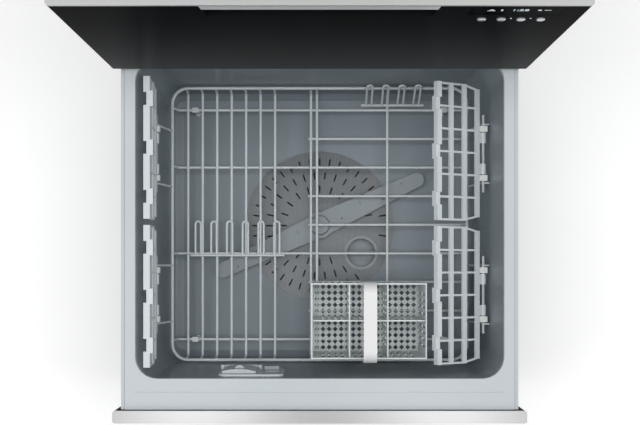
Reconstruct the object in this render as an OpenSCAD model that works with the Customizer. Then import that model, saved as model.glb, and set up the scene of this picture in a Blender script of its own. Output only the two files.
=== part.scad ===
// Two-drawer dishwasher: the lower drawer stands open, the upper one is closed.
// Frame: +Z up, drawers open towards -Y, origin on the floor under the middle of the closed appliance.
// Every drawer piece is written for the closed lower drawer and then moved to its own place.

/* [Fronts] */
// Width of the drawer fronts
front_w = 598; // [580:1:620]
// Height of one drawer front
front_h = 380; // [374:1:400]
// Thickness of a drawer front
front_t = 18; // [16:1:22]
// Gap between the two fronts
front_gap = 4; // [3:1:8]
// Radius on the fronts' vertical edges
front_edge_r = 4; // [2:0.5:6]
// Thickness of the steel cap on a front
cap_t = 4; // [3:0.5:6]
// Width of the pull lip at the top
lip_w = 266; // [220:1:290]
// Height of the pull lip
lip_h = 20; // [14:1:24]
// Thickness of the pull lip
lip_t = 3; // [2:0.5:4]
// Height of the hand pocket with its lip
pocket_h = 50; // [44:1:56]
// Depth of the hand pocket
pocket_depth = 32; // [26:1:36]
// Width of the display window
display_w = 103; // [90:1:110]
// Height of the display window
display_h = 34; // [20:1:36]
// Diameter of a push button
button_d = 10.5; // [8:0.5:12]
// Distance between two buttons
button_pitch = 22.5; // [18:0.5:26]
// How far a button stands out of the front
button_proud = 2.5; // [2:0.1:3]
// How far a button can be pressed
button_travel = 1.5; // [1:0.1:1.8]

/* [Cabinet] */
// Depth of the closed appliance
overall_d = 573; // [560:1:600]
// Height of the plinth under the lower front
plinth_h = 100; // [96:1:120]
// Thickness of the cabinet sheet
sheet_t = 1.5; // [1:0.1:2]
// Height of the base tray's floor
tray_z = 60; // [50:1:66]
// Diameter of a levelling foot
foot_d = 44; // [34:1:50]
// Diameter of a foot's stem
foot_stem_d = 10; // [8:0.5:12]
// Distance of the toe kick behind the fronts
kick_recess = 62; // [50:1:80]

/* [Runners] */
// Travel of a drawer
travel = 510; // [440:1:520]
// Length of a runner member
runner_l = 500; // [470:1:505]
// Height of the outer runner member
runner_h = 45; // [40:1:50]
// Thickness of the runner sheet
runner_t = 1.2; // [1:0.1:1.5]
// Running gap between runner members
runner_gap = 0.4; // [0.3:0.05:0.5]

/* [Tub] */
// Depth of the tub under its rim
tub_h = 268; // [255:1:275]
// Distance of the rim under the front's top
rim_drop = 15; // [14:1:20]
// Wall thickness of the tub
tub_wall = 3; // [2.5:0.1:4]
// Width of the rim along the sides
rim_side = 21; // [18:1:24]
// Width of the rim at the front
rim_front = 45; // [43:1:50]
// Width of the rim at the rear
rim_rear = 22; // [18:1:26]
// Corner radius of the tub's mouth
mouth_r = 32; // [28:1:33]
// Radius round the tub's floor
floor_r = 28; // [22:1:30]
// How much each side wall leans in
side_draft = 10; // [8:1:14]
// How much the front and rear walls lean in
end_draft = 7; // [5:1:9]
// Diameter of the sump
sump_d = 236; // [220:1:250]
// Depth of the sump under the tub's floor
sump_h = 34; // [30:1:36]
// Diameter of the wash motor
motor_d = 116; // [100:1:130]
// Height of the wash motor
motor_h = 34; // [28:1:36]

/* [Lid] */
// Thickness of the lid
lid_t = 4.5; // [4:0.1:5]
// Height of the lid's seal
seal_h = 3; // [2:0.5:3.5]
// How far the lid is lifted off the rim
lid_lift = 5; // [4:0.5:5.5]

/* [Base rack] */
// Height of the rack's wire floor over the tub's floor
rack_floor = 43; // [40:1:50]
// Height of the top ring over the wire floor
ring_rise = 31; // [28:1:40]
// Diameter of the top ring's wire
ring_wire = 5; // [4.5:0.1:6]
// Diameter of the floor wires
floor_wire = 4; // [3.5:0.1:4.4]
// Pitch of the wires that run front to back
long_pitch = 24; // [22:0.5:25]
// Pitch of the cross wires
cross_pitch = 47.5; // [45:0.5:48]
// Length of a folding tine
tine_l = 56; // [45:1:60]

/* [Cup racks] */
// Length of one cup rack
cup_l = 210; // [190:1:211]
// Distance from the hinge to the free edge bar
cup_reach = 87; // [78:1:90]
// Angle of a lowered cup rack over the level
cup_slope = 30; // [20:1:40]
// Height of the cup racks' hinge bars over the tub's floor
cup_hinge_h = 159; // [150:1:162]
// Diameter of the hinge bars
hinge_wire = 4; // [3.6:0.1:4.4]
// Length of a notch in the free edge
notch_l = 19; // [14:1:24]

/* [Cutlery basket] */
// Width of the basket
basket_w = 177; // [150:1:180]
// Depth of the basket
basket_d = 116; // [100:1:118]
// Height of the basket's walls
basket_h = 138; // [110:1:145]
// Wall thickness of the basket
basket_t = 2; // [1.8:0.1:2.6]
// Height of the handle over the basket's walls
handle_rise = 50; // [40:1:55]
// Width of the handle
handle_w = 20; // [14:1:26]

/* [Wash parts] */
// Length of the spray arm from tip to tip
arm_l = 384; // [340:1:390]
// Thickness of the spray arm
arm_t = 12; // [10:1:14]
// Diameter of the spindle that carries the arm
spindle_d = 16; // [14:0.5:18]
// Diameter of the turning drain filter
filter_d = 52; // [44:1:56]
// Width of the detergent dispenser
dispenser_w = 97; // [90:1:100]
// Height of the detergent dispenser
dispenser_h = 76; // [70:1:80]
// Diameter of the rinse-aid cap
cap_d = 26; // [22:1:28]

/* [Hidden] */
$fn = 48;
hull_fn = 32;
cut = 1;
running = 0.08;
clear = 0.3;

// Levels of the closed lower drawer
front_top = plinth_h + front_h;
level_step = front_h + front_gap;
top_z = front_top + level_step;
rim_z = front_top - rim_drop;
floor_z = rim_z - tub_h;

// Depth stations
y_face = -overall_d / 2;
y_panel = y_face + front_t;
y_back = overall_d / 2;
front_reveal = 2;
y_shell = y_panel + front_reveal;
rear_space = 22;
y_rim_rear = y_back - sheet_t - rear_space;
y_mouth_front = y_panel + rim_front;
y_mouth_rear = y_rim_rear - rim_rear;
tub_d = y_mouth_rear - y_mouth_front;
tub_y = (y_mouth_rear + y_mouth_front) / 2;

// Width stations
shell_inset = 1;
x_sheet = front_w / 2 - shell_inset;
x_wall = x_sheet - sheet_t;
rim_space = 7;
x_rim = x_wall - rim_space;
tub_w = 2 * (x_rim - rim_side);

// Half width and half depth of the tub's inside at a height
function lean(z) = (rim_z - z) / (tub_h - floor_r);
function tub_x(z) = tub_w / 2 - side_draft * lean(z);
function tub_half_y(z) = tub_d / 2 - end_draft * lean(z);

module in_lower() translate([0, -travel, 0]) children();
module in_lower_middle() translate([0, -travel / 2, 0]) children();
module in_upper() translate([0, 0, level_step]) children();
module both_sides() for (s = [0, 1]) mirror([s, 0, 0]) children();

// Rounded rectangle about the origin
module plate_outline(w, d, r) {
    square([w - 2 * r, d], center = true);
    square([w, d - 2 * r], center = true);
    for (x = [-1, 1], y = [-1, 1])
        translate([x * (w / 2 - r), y * (d / 2 - r)]) circle(r);
}

// Whole tenths of a millimetre, so that wires that meet end to end share one face
function tenth(v) = round(v * 10) / 10;

// Box from its low corner to its high corner
module block(low, high) translate(low) cube(high - low);

// Straight wire between two points
module rod(p, q, d) {
    v = q - p;
    translate(p) rotate([0, acos(v.z / norm(v)), atan2(v.y, v.x)]) cylinder(h = norm(v), d = d);
}

// ---------- Cabinet ----------

service_h = 130;
service_depth = 42;
y_tray_rear = y_back - service_depth;
y_kick = y_face + kick_recess;
fixing_d = 5.5;
fixing_from_side = 59;
fixing_x = front_w - 2 * fixing_from_side;
fixing_y = 120;
fixing_from_front = 76;
bead_w = 8;
bead_t = 1;
bead_inset = 60;
bead_mid = 106;
bead_steps = [-60, 110];

module cabinet_shell() color("#b9bdc0") difference() {
    union() {
        both_sides() {
            block([x_wall, y_shell, tray_z], [x_sheet, y_back, top_z]);
            for (level = [0, level_step], dz = bead_steps) {
                z = plinth_h + bead_mid + level + dz;
                block([x_sheet - sheet_t / 2, y_shell + bead_inset, z],
                    [x_sheet + bead_t, y_back - bead_inset, z + bead_w]);
            }
        }
        block([-x_wall - sheet_t / 2, y_shell, top_z - sheet_t],
            [x_wall + sheet_t / 2, y_back, top_z]);
        block([-x_wall - sheet_t / 2, y_back - sheet_t, service_h],
            [x_wall + sheet_t / 2, y_back, top_z]);
    }
    for (x = [-1, 1], y = [-1, 1])
        translate([x * fixing_x / 2, y_shell + fixing_from_front + y * fixing_y / 2, top_z - sheet_t - cut])
            cylinder(h = sheet_t + 2 * cut, d = fixing_d);
}

foot_from_side = 59;
foot_x = front_w / 2 - foot_from_side;
foot_margin = 8;
foot_front = y_kick + foot_d / 2 + foot_margin;
foot_rear = y_tray_rear - foot_d / 2 - foot_margin;
boss_d = 26;
boss_h = 12;

module at_feet() for (x = [-foot_x, foot_x], y = [foot_front, foot_rear])
    translate([x, y, 0]) children();

module base_tray() color("#8d9295") difference() {
    union() {
        block([-x_wall, y_kick, tray_z], [x_wall, y_tray_rear, tray_z + sheet_t]);
        both_sides() block([x_wall - sheet_t, y_kick, tray_z], [x_wall, y_tray_rear, plinth_h]);
        block([-x_wall, y_kick, tray_z], [x_wall, y_kick + sheet_t, plinth_h]);
        block([-x_wall, y_tray_rear - sheet_t, tray_z], [x_wall, y_tray_rear, service_h]);
        block([-x_wall, y_tray_rear - sheet_t, service_h - sheet_t], [x_wall, y_back, service_h]);
        at_feet() translate([0, 0, tray_z - boss_h]) cylinder(h = boss_h + sheet_t, d = boss_d);
    }
    at_feet() translate([0, 0, tray_z - boss_h - cut])
        cylinder(h = boss_h + sheet_t + 2 * cut, d = foot_stem_d + 2 * running);
}

kick_t = 2;
kick_floor_gap = 6;
kick_top_gap = 2;
module toe_kick() color("#1b1c1e")
    block([-x_wall, y_kick - kick_t, kick_floor_gap], [x_wall, y_kick, plinth_h - kick_top_gap]);

foot_h = 12;
nut_d = 22;
nut_h = 8;
stem_over_tray = 5;
module levelling_feet() color("#3a3c3f") at_feet() {
    cylinder(h = foot_h / 2, d = foot_d);
    translate([0, 0, foot_h / 2]) cylinder(h = foot_h / 2, d1 = foot_d - 4, d2 = nut_d);
    translate([0, 0, foot_h - cut])
        cylinder(h = tray_z + sheet_t + stem_over_tray + cut - foot_h, d = foot_stem_d);
    translate([0, 0, tray_z - boss_h - nut_h]) cylinder(h = nut_h, d = nut_d, $fn = 6);
}

rail_h = 24;
rail_d = 30;
rail_t = 1.5;
rail_low = front_top + 1;
module cross_rail() color("#a9adb0") {
    block([-x_wall, y_shell, rail_low], [x_wall, y_shell + rail_t, rail_low + rail_h]);
    for (z = [rail_low, rail_low + rail_h - rail_t])
        block([-x_wall, y_shell, z], [x_wall, y_shell + rail_d, z + rail_t]);
}

// ---------- Runners ----------

runner_rise = 75;
runner_z = floor_z + runner_rise;
y_runner = y_shell + 4;
runner_depth = 12.9;
outer_half = runner_h / 2;
middle_half = outer_half - runner_t - runner_gap;
inner_half = middle_half - runner_t - runner_gap;
curl = 2.5;
outer_flange = 12;
middle_flange = 9;
x_inner_web = x_wall - runner_depth;

// Half profile across the runner: x from the cabinet wall inwards, z about the runner's middle
module outer_profile() {
    translate([x_wall - runner_t, -outer_half]) square([runner_t, 2 * outer_half]);
    for (s = [0, 1]) mirror([0, s]) {
        translate([x_wall - outer_flange, outer_half - runner_t]) square([outer_flange, runner_t]);
        translate([x_wall - outer_flange, outer_half - curl]) square([runner_t, curl]);
    }
}
module middle_profile() {
    web = x_wall - runner_t - runner_gap;
    translate([web - runner_t, -middle_half]) square([runner_t, 2 * middle_half]);
    for (s = [0, 1]) mirror([0, s])
        translate([web - middle_flange, middle_half - runner_t]) square([middle_flange, runner_t]);
}
module inner_profile() {
    free = x_wall - 2 * runner_t - 2 * runner_gap;
    translate([x_inner_web, -inner_half]) square([runner_t, 2 * inner_half]);
    for (s = [0, 1]) mirror([0, s])
        translate([x_inner_web, inner_half - runner_t]) square([free - x_inner_web, runner_t]);
}
module runner_pair() both_sides()
    translate([0, y_runner + runner_l, runner_z]) rotate([90, 0, 0]) linear_extrude(runner_l) children();

bracket_h = 60;
bracket_t = 2;
bracket_in = 14;
bracket_out = 8;
bracket_l = 28;
module runner_outer() color("#9fa4a8") runner_pair() outer_profile();
module runner_middle() color("#a9aeb2") runner_pair() middle_profile();
module runner_inner() color("#a9aeb2") {
    runner_pair() inner_profile();
    both_sides() {
        block([x_inner_web - bracket_in, y_panel, runner_z - bracket_h / 2],
            [x_inner_web + bracket_out, y_panel + bracket_t, runner_z + bracket_h / 2]);
        block([x_inner_web - bracket_t, y_panel, runner_z - inner_half],
            [x_inner_web, y_runner + bracket_l, runner_z + inner_half]);
        block([x_inner_web, y_panel, runner_z - inner_half],
            [x_inner_web + runner_t, y_runner + cut, runner_z + inner_half]);
    }
}

// ---------- Lid and its drives ----------

lid_side_gap = 9;
x_lid = x_wall - lid_side_gap;
y_lid_front = y_panel + 3;
y_lid_rear = y_rim_rear - 1;
seal_low = rim_z + clear;
lid_low = seal_low + seal_h;
seal_w = 7;
seal_out = 3;
ear_w = 30;
ear_l = 13;
pin_d = 6;
drive_from_side = 137.5;
drive_x = x_lid - drive_from_side;
pin_y = y_lid_rear + 7;
hanger_pin_d = 3;
hanger_x = x_wall - 4;
hanger_from_panel = 78.5;
hanger_y = y_panel + hanger_from_panel;
hanger_ear = 16;
lid_r = 10;
recess_depth = 1.5;
recess_r = 18;
recess_margin = 20;

module lid_ears() both_sides() {
    block([drive_x - ear_w / 2, y_lid_rear - cut, lid_low],
        [drive_x + ear_w / 2, y_lid_rear + ear_l, lid_low + lid_t]);
    block([x_lid - cut, hanger_y - hanger_ear / 2, lid_low],
        [hanger_x + hanger_pin_d, hanger_y + hanger_ear / 2, lid_low + lid_t]);
}
// Lid in its lifted place
module lid() color("#dfe4e6") translate([0, 0, lid_lift]) difference() {
    union() {
        translate([0, (y_lid_front + y_lid_rear) / 2, lid_low])
            linear_extrude(lid_t) plate_outline(2 * x_lid, y_lid_rear - y_lid_front, lid_r);
        translate([0, tub_y, seal_low]) linear_extrude(seal_h + cut) difference() {
            plate_outline(tub_w + 2 * (seal_w + seal_out), tub_d + 2 * (seal_w + seal_out),
                mouth_r + seal_w + seal_out);
            plate_outline(tub_w + 2 * seal_out, tub_d + 2 * seal_out, mouth_r + seal_out);
        }
        lid_ears();
    }
    translate([0, tub_y, lid_low + lid_t - recess_depth]) linear_extrude(2 * cut)
        for (x = [-1, 1], y = [-1, 1]) translate([x * tub_w / 4, y * tub_d / 4])
            plate_outline(tub_w / 2 - recess_margin, tub_d / 2 - recess_margin, recess_r);
    both_sides() {
        translate([drive_x, pin_y, lid_low - cut])
            cylinder(h = lid_t + 2 * cut, d = pin_d + 4 * running);
        translate([hanger_x, hanger_y, lid_low - cut])
            cylinder(h = lid_t + 2 * cut, d = hanger_pin_d + 4 * running);
    }
}

gear_w = 44;
gear_h = 34;
gear_gap = 1.5;
drive_motor_d = 15;
drive_motor_l = 38;
pin_top = lid_low + lid_t + lid_lift + 0.2;
shelf_w = 6.2;
shelf_t = 1.4;
shelf_l = 20;
shelf_z = rim_z + 0.8;
shelf_leg = 15;
module lid_drive() color("#d8dadb") both_sides() {
    block([drive_x - gear_w / 2, y_rim_rear + gear_gap, rim_z - gear_h],
        [drive_x + gear_w / 2, y_back - sheet_t, rim_z + 1]);
    translate([drive_x - gear_w / 2, y_back - sheet_t - drive_motor_d / 2 - 1, rim_z - gear_h / 2])
        rotate([0, -90, 0]) cylinder(h = drive_motor_l, d = drive_motor_d);
    translate([drive_x, pin_y, rim_z]) cylinder(h = pin_top - rim_z, d = pin_d);
    block([x_wall - shelf_w, hanger_y - shelf_l / 2, shelf_z],
        [x_wall, hanger_y + shelf_l / 2, shelf_z + shelf_t]);
    block([x_wall - runner_t, hanger_y - shelf_l / 2, shelf_z - shelf_leg],
        [x_wall, hanger_y + shelf_l / 2, shelf_z + shelf_t]);
    translate([hanger_x, hanger_y, shelf_z]) cylinder(h = pin_top - shelf_z, d = hanger_pin_d);
}

// ---------- Services in the plinth ----------

valve_from_side = 109;
valve_x = front_w / 2 - valve_from_side;
valve_z = 92;
thread_d = 26.4;
thread_l = 18;
thread_bore = 15;
valve_flange_d = 38;
valve_flange_t = 4;
spigot_d = 19;
spigot_l = 30;
spigot_bore = 14;
spigot_flange_d = 34;
spigot_flange_t = 4;

// Hollow connection on a round flange, pointing out of the rear wall at x
module connection(x, flange_d, flange_t, d, l, bore)
    translate([x, y_tray_rear, valve_z]) rotate([-90, 0, 0]) difference() {
        union() {
            cylinder(h = flange_t, d = flange_d);
            cylinder(h = flange_t + l, d = d);
        }
        translate([0, 0, flange_t]) cylinder(h = l + cut, d = bore);
    }
module inlet_valve() color("#e6e6e2")
    connection(valve_x, valve_flange_d, valve_flange_t, thread_d, thread_l, thread_bore);
module drain_spigot() color("#505457")
    connection(-valve_x, spigot_flange_d, spigot_flange_t, spigot_d, spigot_l, spigot_bore);

module_from_side = 124;
module_from_back = 176.5;
module_x = module_from_side - front_w / 2;
module_y = y_back - module_from_back;
module_w = 150;
module_d = 140;
module_h = 46;
fin_pitch = 14;
fin_slot = 6;
fin_margin = 20;
module control_module() color("#3b3f43") translate([module_x, module_y, tray_z + sheet_t]) difference() {
    translate([-module_w / 2, -module_d / 2, 0]) cube([module_w, module_d, module_h]);
    for (i = [-4:4]) translate([i * fin_pitch, 0, module_h])
        cube([fin_slot, module_d - 2 * fin_margin, 4], center = true);
}

// ---------- Drawer front ----------

lip_taper = 5;
pocket_skin = 2;
rim_t = 6;
pocket_top = rim_z - rim_t - 0.5;
display_from_side = 80.5;
display_x = front_w / 2 - display_from_side;
display_drop = 12;
display_depth = 2;
button_x = [for (i = [0:3]) display_x + (i - 1.5) * button_pitch];
button_drop = 61.6;
button_z = front_top - button_drop;
button_depth = 8;
button_hole = button_d + 2 * clear;

// Opening of the hand pocket on the face: slanted ends, z down from the front's top
module pocket_outline(low, high, grow = 0)
    polygon([for (p = [[-1, low], [1, low], [1, high], [-1, high]])
        [p[0] * (lip_w / 2 + grow - lip_taper * p[1] / pocket_h), front_top - p[1]]]);
module on_face(y, t)
    translate([0, y + t, 0]) rotate([90, 0, 0]) linear_extrude(t) children();

module front() color("#17181a") difference() {
    union() {
        translate([0, (y_face + y_panel) / 2, plinth_h])
            linear_extrude(front_h - cap_t) plate_outline(front_w, front_t, front_edge_r);
        block([-lip_w / 2 - pocket_skin, y_panel - cut, front_top - pocket_h - pocket_skin],
            [lip_w / 2 + pocket_skin, y_face + pocket_depth + pocket_skin, pocket_top]);
    }
    on_face(y_face - cut, lip_t + cut) pocket_outline(cap_t, pocket_h);
    on_face(y_face + lip_t - 0.01, front_t - lip_t - pocket_skin) pocket_outline(cap_t + 2, pocket_h);
    on_face(y_panel - pocket_skin - cut, pocket_depth - front_t + pocket_skin + cut)
        pocket_outline(front_top - pocket_top + pocket_skin, pocket_h);
    block([display_x - display_w / 2, y_face - cut, front_top - display_drop - display_h],
        [display_x + display_w / 2, y_face + display_depth, front_top - display_drop]);
    for (x = button_x) translate([x, y_face + button_depth, button_z]) rotate([90, 0, 0])
        cylinder(h = button_depth + cut, d = button_hole);
}

module steel_cap() color("#c9ccce") {
    translate([0, (y_face + y_panel) / 2, front_top - cap_t])
        linear_extrude(cap_t) plate_outline(front_w, front_t, front_edge_r);
    on_face(y_face, lip_t) pocket_outline(cap_t - 0.5, lip_h);
}

module display() color("#0c0d10")
    block([display_x - display_w / 2, y_face + 0.2, front_top - display_drop - display_h],
        [display_x + display_w / 2, y_face + display_depth, front_top - display_drop]);

button_rear = button_depth - button_travel - clear;
button_edge = 1;
module button(i) color("#c4c7ca")
    translate([button_x[i], y_face + button_rear, button_z]) rotate([90, 0, 0]) {
        l = button_rear + button_proud - button_edge;
        cylinder(h = l, d = button_d);
        translate([0, 0, l]) cylinder(h = button_edge, d1 = button_d, d2 = button_d - 2 * button_edge);
    }

// ---------- Tub ----------

step_w = 6;
step_t = 3;
skirt_t = 2;
skirt_h = 12;
groove_w = 2;
groove_t = 1.5;
groove_from_mouth = 18;
skirt_front = 40;
skirt_rear = 20;
rim_r = 14;
slab = 0.01;

// Solid of the tub's inside grown by a wall: drafted walls and a rounded floor edge
module tub_form(grow, top) hull() {
    k = lean(top);
    translate([0, tub_y, top]) linear_extrude(slab)
        plate_outline(tub_w - 2 * side_draft * k + 2 * grow, tub_d - 2 * end_draft * k + 2 * grow,
            mouth_r + grow, $fn = hull_fn);
    for (a = [0:30:90]) {
        inset = (floor_r + grow) * (1 - cos(a));
        translate([0, tub_y, floor_z - grow + (floor_r + grow) * (1 - sin(a))]) linear_extrude(slab)
            plate_outline(tub_w - 2 * side_draft + 2 * (grow - inset),
                tub_d - 2 * end_draft + 2 * (grow - inset), mouth_r + grow - inset, $fn = hull_fn);
    }
}

module rim_outline() {
    translate([0, (y_panel + y_rim_rear) / 2]) plate_outline(2 * x_rim, y_rim_rear - y_panel, rim_r);
    translate([-x_rim, y_panel]) square([2 * x_rim, skirt_front]);
}

sump_wall = 3;
x_rail = tub_x(runner_z) - 1;
y_rail = y_runner + 30;
rail_l = 430;
rail_half = 12;
rail_rib = 3;
rib_pitch = 80;
shaft_hole = spindle_d + 1;

// Ribbed rail on the tub's side that the inner runner member is screwed to
module tub_rail() {
    for (z = [-rail_half, rail_half - rail_rib])
        block([x_rail, y_rail, runner_z + z], [x_inner_web, y_rail + rail_l, runner_z + z + rail_rib]);
    for (i = [0:5]) translate([0, y_rail + rail_rib + i * rib_pitch, runner_z])
        block([x_rail, 0, 1 - rail_half], [x_inner_web - 4, rail_rib, rail_half - 1]);
}

module tub() color("#c4cace") difference() {
    union() {
        tub_form(tub_wall, rim_z - rim_t / 2);
        translate([0, 0, rim_z - rim_t]) linear_extrude(rim_t) rim_outline();
        both_sides() {
            block([x_rim - skirt_t, y_panel + skirt_front, rim_z - rim_t - skirt_h],
                [x_rim, y_rim_rear - skirt_rear, rim_z - rim_t + cut]);
            tub_rail();
        }
        translate([0, tub_y, floor_z - sump_h - sump_wall])
            cylinder(h = sump_h + sump_wall, d = sump_d + 2 * sump_wall);
    }
    tub_form(0, rim_z + cut);
    translate([0, tub_y, floor_z - sump_h]) cylinder(h = sump_h + cut, d = sump_d);
    translate([0, tub_y, floor_z - sump_h - 2 * sump_wall]) cylinder(h = 3 * sump_wall, d = shaft_hole);
    both_sides() block([x_rim - step_w, y_panel - cut, rim_z - step_t],
        [x_rim + cut, y_rim_rear + cut, rim_z + cut]);
    block([-tub_w / 2, y_mouth_front - groove_from_mouth - groove_w, rim_z - groove_t],
        [tub_w / 2, y_mouth_front - groove_from_mouth, rim_z + cut]);
    at_dispenser() block([-plug_w / 2 - clear, -plug_depth, -plug_h / 2 - clear],
        [plug_w / 2 + clear, 10, plug_h / 2 + clear]);
}

// ---------- Wash parts ----------

spindle_top = floor_z + 24;
sump_low = floor_z - sump_h - sump_wall;
motor_fins = 8;
motor_fin = [7, 4, motor_h - 4];
module wash_motor() color("#44484c") translate([0, tub_y, 0]) {
    translate([0, 0, sump_low - motor_h]) {
        cylinder(h = motor_h, d = motor_d);
        for (i = [1:motor_fins]) rotate(i * 360 / motor_fins)
            translate([motor_d / 2 - 1, -motor_fin.y / 2, 0]) cube(motor_fin);
    }
    translate([0, 0, sump_low - cut]) cylinder(h = spindle_top - sump_low + cut, d = spindle_d);
}

filter_plate_d = sump_d + 16;
filter_plate_t = 2;
filter_x = 70;
filter_y = -46;
filter_cup_h = 24;
filter_rim = 5;
slot_ring_r = 62;
slot_ring_step = 23;
slot_ring_last = 2;
first_slots = 20;
more_slots = 10;
slot_l = 12;
slot_t = 2.5;
module filter_plate_outline() difference() {
    circle(d = filter_plate_d);
    circle(d = spindle_d + 6);
    translate([filter_x, filter_y]) circle(d = filter_d + 2 * running);
    for (ring = [0:slot_ring_last]) {
        n = first_slots + ring * more_slots;
        r = slot_ring_r + ring * slot_ring_step;
        for (i = [1:n]) {
            p = r * [cos(i * 360 / n), sin(i * 360 / n)];
            if (norm(p - [filter_x, filter_y]) > filter_d / 2 + slot_l)
                translate(p) rotate(i * 360 / n) square([slot_l, slot_t], center = true);
        }
    }
}
module filter_plate() color("#b7bcc0")
    translate([0, tub_y, floor_z]) linear_extrude(filter_plate_t) filter_plate_outline();

filter_wall = 2;
filter_windows = 12;
window_w = 4;
grip_t = 4;
grip_low = -8;
filter_top = filter_plate_t + clear + 2;
module drain_filter() color("#8f979c") translate([filter_x, tub_y + filter_y, floor_z]) {
    difference() {
        union() {
            translate([0, 0, -filter_cup_h]) cylinder(h = filter_cup_h + filter_plate_t, d = filter_d);
            translate([0, 0, filter_plate_t - cut]) cylinder(h = 1 + cut, d = filter_d - filter_wall);
            translate([0, 0, filter_plate_t + clear])
                cylinder(h = filter_top - filter_plate_t - clear, d = filter_d + filter_rim);
        }
        translate([0, 0, -filter_cup_h + filter_wall])
            cylinder(h = 2 * filter_cup_h, d = filter_d - 2 * filter_wall);
        for (i = [1:filter_windows]) rotate(i * 360 / filter_windows)
            translate([filter_d / 2 - 2 * filter_wall, -window_w / 2, -filter_cup_h + 2 * filter_wall])
                cube([4 * filter_wall, window_w, filter_cup_h - 4 * filter_wall]);
    }
    block([-filter_d / 2 + 1, -grip_t / 2, grip_low], [filter_d / 2 - 1, grip_t / 2, filter_top]);
}

arm_low = floor_z + 9;
hub_d = 44;
hub_rise = 6;
nozzle_d = 3;
nozzle_depth = 4;
nozzle_y = 5;
tip_r = 12;
arm_turn = 25;
module arm_outline() {
    circle(d = hub_d);
    for (s = [0, 180]) rotate(s) {
        polygon([[0, 2 - hub_d / 2], [arm_l / 2 - tip_r, -tip_r], [arm_l / 2 - tip_r, tip_r],
            [0, hub_d / 2 - 2]]);
        translate([arm_l / 2 - tip_r, 0]) circle(tip_r);
    }
}
module spray_arm() color("#9aa0a4") translate([0, tub_y, arm_low]) rotate(arm_turn) difference() {
    union() {
        linear_extrude(arm_t) arm_outline();
        cylinder(h = arm_t + hub_rise, d1 = hub_d, d2 = hub_d - 14);
    }
    translate([0, 0, -cut])
        cylinder(h = spindle_top - arm_low + cut + clear, d = spindle_d + 2 * running);
    for (s = [0, 180], i = [1:4]) rotate(s)
        translate([i * arm_l / 10, i % 2 == 0 ? nozzle_y : -nozzle_y, arm_t - nozzle_depth])
            cylinder(h = 2 * nozzle_depth, d = nozzle_d);
}

// ---------- Detergent dispenser in the front wall ----------

dispenser_from_side = 166.5;
dispenser_drop = 62;
dispenser_x = dispenser_from_side - tub_w / 2;
dispenser_z = rim_z - dispenser_drop;
draft_angle = atan(end_draft / (tub_h - floor_r));
plug_margin = 6;
plug_w = dispenser_w - 2 * plug_margin;
plug_h = dispenser_h - 2 * plug_margin;
plug_depth = 24;
flange_t = 3;
cup_x = -18;
cup_w = 50;
cup_margin = 10;
cup_h = dispenser_h - 2 * cup_margin;
cup_depth = 18;
cup_lip = 4;
cup_sill = 6;
door_t = 3;
door_dome = 4;
door_pin_d = 3;
door_pin_gap = 2.3;
door_pin_y = flange_t + door_pin_d / 2 + door_pin_gap;
hollow_w = 40;
hollow_h = 20;
rinse_x = 30;
knob_r = 8;
knob_h = 10;
flange_r = 12;
wall_gap = 0.1;
door_gap = 0.4;
dome_r = 90;
door_pin_z = -cup_h / 2 - door_pin_d;
knuckle_t = 4;
knuckle_x = cup_w / 2 + knuckle_t;

// Local frame on the tub's front wall: x across, y into the tub, z up the wall
module at_dispenser() translate([dispenser_x, tub_y - tub_half_y(dispenser_z), dispenser_z])
    rotate([draft_angle, 0, 0]) children();

module wall_plate(w, h, t, r)
    translate([0, t, 0]) rotate([90, 0, 0]) linear_extrude(t) plate_outline(w, h, r);

module dispenser_body() color("#d5dadd") at_dispenser() difference() {
    union() {
        block([-plug_w / 2, -plug_depth, -plug_h / 2], [plug_w / 2, cut, plug_h / 2]);
        translate([0, wall_gap, 0]) wall_plate(dispenser_w, dispenser_h, flange_t, flange_r);
        for (s = [-1, 1]) translate([cup_x + s * knuckle_x, 0, door_pin_z])
            block([-knuckle_t / 2, flange_t - cut, -door_pin_d],
                [knuckle_t / 2, door_pin_y + door_pin_d / 2 + cut, door_pin_d + cut]);
        translate([cup_x - knuckle_x - cut, door_pin_y, door_pin_z]) rotate([0, 90, 0])
            cylinder(h = 2 * (knuckle_x + cut), d = door_pin_d);
    }
    block([cup_x - cup_w / 2 + cup_lip, -cup_depth, -cup_h / 2 + cup_sill],
        [cup_x + cup_w / 2 - cup_lip, 2 * flange_t, cup_h / 2 - cup_lip]);
    translate([rinse_x, -cap_neck_l - 2 * cut, 0]) rotate([-90, 0, 0])
        cylinder(h = cap_neck_l + 3 * flange_t, d = cap_neck_d + 2 * running);
}

module dispenser_door() color("#eceff0") at_dispenser() difference() {
    union() {
        intersection() {
            block([cup_x - cup_w / 2, flange_t + door_gap, door_pin_z],
                [cup_x + cup_w / 2, hollow_h, cup_h / 2]);
            translate([cup_x, flange_t + door_t + door_dome - dome_r, -cup_h])
                cylinder(h = 2 * cup_h, r = dome_r, $fn = 96);
        }
        translate([cup_x, flange_t + door_t, knob_r / 2]) cylinder(h = knob_h, r = knob_r);
        translate([cup_x - cup_w / 2, door_pin_y, door_pin_z]) rotate([0, 90, 0])
            cylinder(h = cup_w, d = 2 * door_pin_d);
    }
    block([cup_x - hollow_w / 2, -hollow_h, -hollow_h / 2],
        [cup_x + hollow_w / 2, flange_t + door_gap, hollow_h]);
    translate([cup_x - cup_w, door_pin_y, door_pin_z]) rotate([0, 90, 0])
        cylinder(h = 2 * cup_w, d = door_pin_d + 2 * running);
}

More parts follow.
